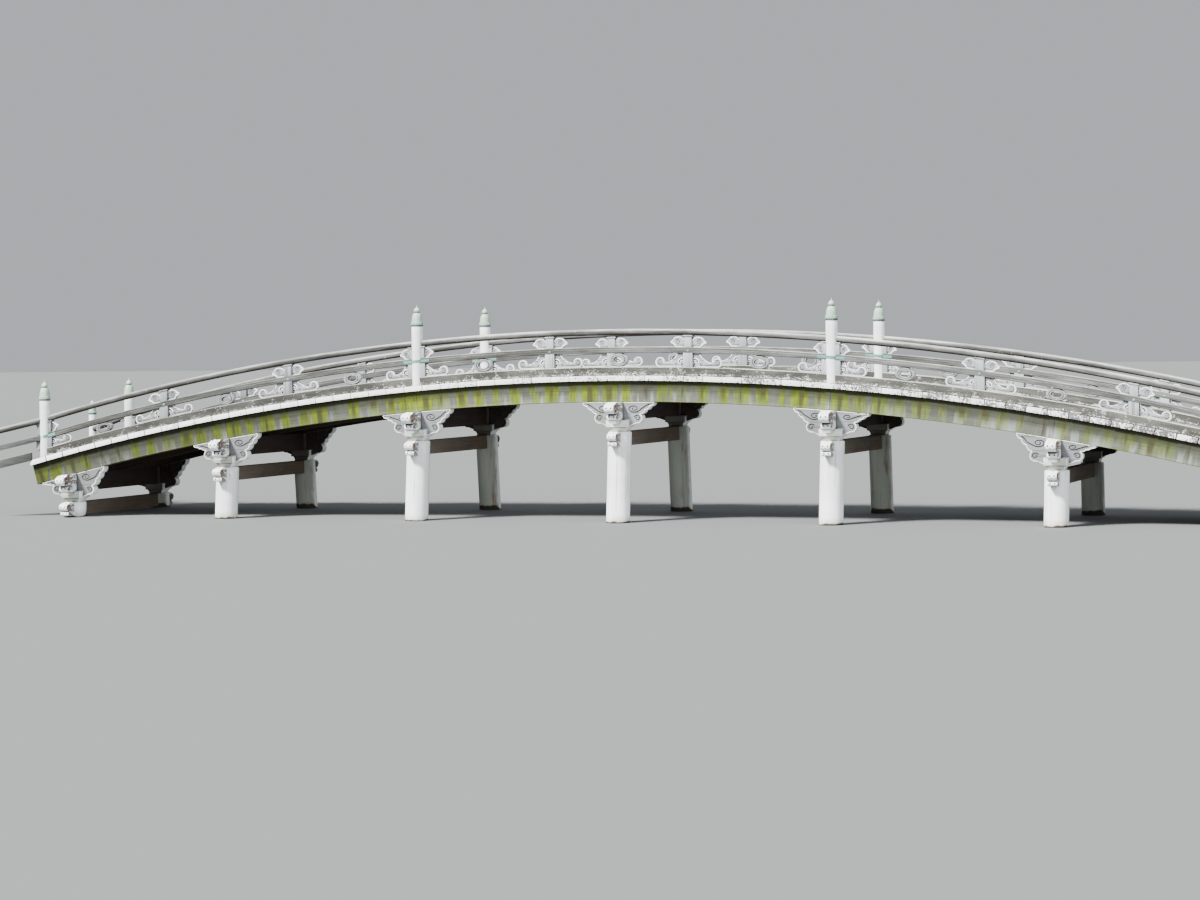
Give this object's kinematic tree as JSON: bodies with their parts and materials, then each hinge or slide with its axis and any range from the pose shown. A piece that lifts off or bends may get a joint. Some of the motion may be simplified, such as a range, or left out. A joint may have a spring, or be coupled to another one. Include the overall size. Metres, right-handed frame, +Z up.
{
  "type": "arched timber moon bridge",
  "caption": "Arched timber garden bridge on battered pile bents, with carved cloud brackets, nosed beam ends, scroll-panelled railings and onion-capped posts.",
  "frame": {"origin": "water level under the middle of the bridge", "axes": "+X along the bridge, +Y across it towards the back railing, +Z up"},
  "size_m": [26.5696, 4.6092, 4.0174],
  "materials": {
    "pile_timber": "sun-bleached, water-stained",
    "beam_timber": "weathered, carved ends",
    "bracket_timber": "weathered, carved",
    "girder_timber": "weathered, moss-streaked",
    "deck_timber": "weathered boards with lichen on their ends",
    "rail_timber": "weathered, lichened",
    "panel_timber": "weathered, carved",
    "post_timber": "sun-bleached",
    "aged_copper": "verdigris"
  },
  "bodies": {
    "root": {"piles_1": "pile_timber", "piles_2": "pile_timber", "piles_3": "pile_timber", "piles_4": "pile_timber", "piles_5": "pile_timber", "piles_6": "pile_timber", "piles_7": "pile_timber", "tie_beam_1": "beam_timber", "tie_beam_2": "beam_timber", "tie_beam_3": "beam_timber", "tie_beam_4": "beam_timber", "tie_beam_5": "beam_timber", "tie_beam_6": "beam_timber", "tie_beam_7": "beam_timber", "cap_beam_1": "beam_timber", "cap_beam_2": "beam_timber", "cap_beam_3": "beam_timber", "cap_beam_4": "beam_timber", "cap_beam_5": "beam_timber", "cap_beam_6": "beam_timber", "cap_beam_7": "beam_timber", "front_bearing_blocks": "bracket_timber", "back_bearing_blocks": "bracket_timber", "front_cloud_brackets": "bracket_timber", "back_cloud_brackets": "bracket_timber", "front_girder": "girder_timber", "middle_girder": "girder_timber", "back_girder": "girder_timber", "deck": "deck_timber", "front_ground_sill": "rail_timber", "back_ground_sill": "rail_timber", "front_mid_rail": "rail_timber", "back_mid_rail": "rail_timber", "front_handrail": "rail_timber", "back_handrail": "rail_timber", "front_struts": "panel_timber", "back_struts": "panel_timber", "front_cloud_panels": "panel_timber", "back_cloud_panels": "panel_timber", "ring_medallions": "panel_timber", "round_posts": "post_timber", "post_caps": "aged_copper", "post_straps": "aged_copper", "wing_posts": "post_timber", "wing_rails": "rail_timber"}
  },
  "joints": []
}
